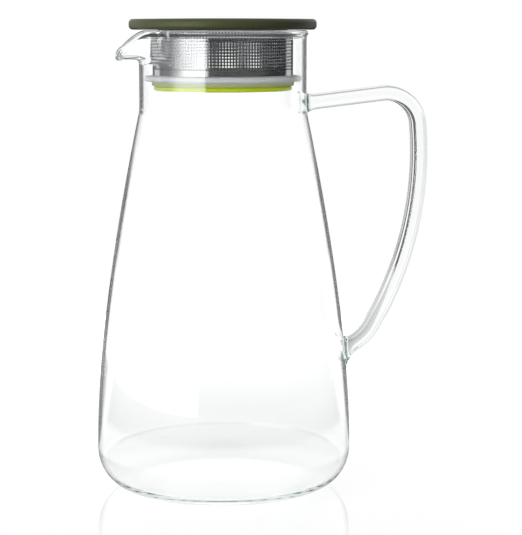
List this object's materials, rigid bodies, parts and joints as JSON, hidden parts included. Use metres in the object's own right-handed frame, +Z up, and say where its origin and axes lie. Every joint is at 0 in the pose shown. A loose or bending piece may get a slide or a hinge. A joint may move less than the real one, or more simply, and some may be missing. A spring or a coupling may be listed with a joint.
{
  "type": "glass pitcher with strainer lid",
  "caption": "Tall clear glass pitcher with a drawn spout and a welded strap handle, closed by a flat lid that carries a perforated steel strainer and a neck seal to hold fruit back",
  "frame": {"origin": "centre of the foot, on the table", "axes": "+Z up along the jug's axis, +X towards the handle, the spout points to -X"},
  "size_m": [0.1789, 0.1366, 0.2523],
  "materials": {
    "clear_glass": "clear, polished",
    "olive_plastic": "satin",
    "dark_plastic": "satin",
    "perforated_steel": "polished sheet with a fine grid of holes",
    "lime_plastic": "gloss",
    "silicone": "frosted, translucent"
  },
  "bodies": {
    "jug": {"jug_body": "clear_glass", "jug_handle": "clear_glass"},
    "lid": {"lid_cover": "olive_plastic", "lid_base": "dark_plastic"},
    "strainer": {"strainer_top_ring": "dark_plastic", "strainer_sleeve": "perforated_steel", "strainer_bottom_ring": "lime_plastic", "neck_seal": "silicone"}
  },
  "joints": [
    {"name": "lid_lift", "type": "slide", "parent": "jug", "child": "lid", "axis": [0, 0, 1], "range_m": [0, 0.07]},
    {"name": "strainer_twist", "type": "hinge", "parent": "lid", "child": "strainer", "pos_m": [0, 0, 0.243], "axis": [0, 0, -1], "range_deg": [0, 30]}
  ]
}
